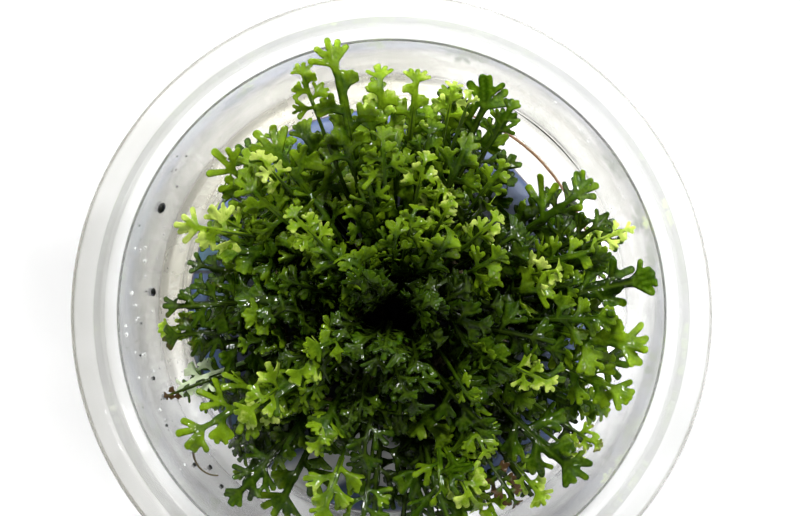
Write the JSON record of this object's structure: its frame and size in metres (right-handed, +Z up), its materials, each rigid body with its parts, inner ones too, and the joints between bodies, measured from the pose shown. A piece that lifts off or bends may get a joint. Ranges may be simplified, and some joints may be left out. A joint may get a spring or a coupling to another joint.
{
  "type": "bolbitis fern in a clear culture cup",
  "caption": "Small tufted water fern with lobed, arching fronds on creeping rhizomes, standing on a gel pad inside a clear round cup with a flat rim.",
  "frame": {"origin": "centre of the cup's foot ring, on the surface that it stands on", "axes": "+Z up along the cup's axis; +Y towards the top edge of the picture, +X to its right"},
  "size_m": [0.1, 0.1, 0.056],
  "materials": {
    "clear_plastic": "clear, glossy moulded plastic with fine haze",
    "gel": "wet, glossy, slate-blue nutrient gel",
    "rhizome": "dark brown, scaly, matt",
    "frond": "wet, glossy green leaf, paler at the tips"
  },
  "bodies": {
    "root": {"cup": "clear_plastic", "gel_pad": "gel", "rhizome_heart": "rhizome", "rhizome_crown": "rhizome", "rhizome_middle": "rhizome", "rhizome_east": "rhizome", "rhizome_west": "rhizome", "crown_frond_1": "frond", "crown_frond_2": "frond", "crown_frond_3": "frond", "crown_frond_4": "frond", "crown_frond_5": "frond", "upper_frond_1": "frond", "upper_frond_2": "frond", "upper_frond_3": "frond", "upper_frond_4": "frond", "upper_frond_5": "frond", "upper_frond_6": "frond", "upper_frond_7": "frond", "upper_frond_8": "frond", "middle_frond_1": "frond", "middle_frond_2": "frond", "middle_frond_3": "frond", "middle_frond_4": "frond", "middle_frond_5": "frond", "middle_frond_6": "frond", "middle_frond_7": "frond", "middle_frond_8": "frond", "middle_frond_9": "frond", "middle_frond_10": "frond", "arching_frond_1": "frond", "arching_frond_2": "frond", "arching_frond_3": "frond", "arching_frond_4": "frond", "arching_frond_5": "frond", "arching_frond_6": "frond", "arching_frond_7": "frond", "arching_frond_8": "frond", "lower_frond_1": "frond", "lower_frond_2": "frond", "lower_frond_3": "frond", "lower_frond_4": "frond", "lower_frond_5": "frond", "lower_frond_6": "frond", "lower_frond_7": "frond", "lower_frond_8": "frond", "lower_frond_9": "frond", "lower_frond_10": "frond", "skirt_frond_1": "frond", "skirt_frond_2": "frond", "skirt_frond_3": "frond", "skirt_frond_4": "frond", "skirt_frond_5": "frond", "skirt_frond_6": "frond", "skirt_frond_7": "frond", "heart_frond_1": "frond", "heart_frond_2": "frond", "heart_frond_3": "frond", "tall_frond": "frond"}
  },
  "joints": []
}
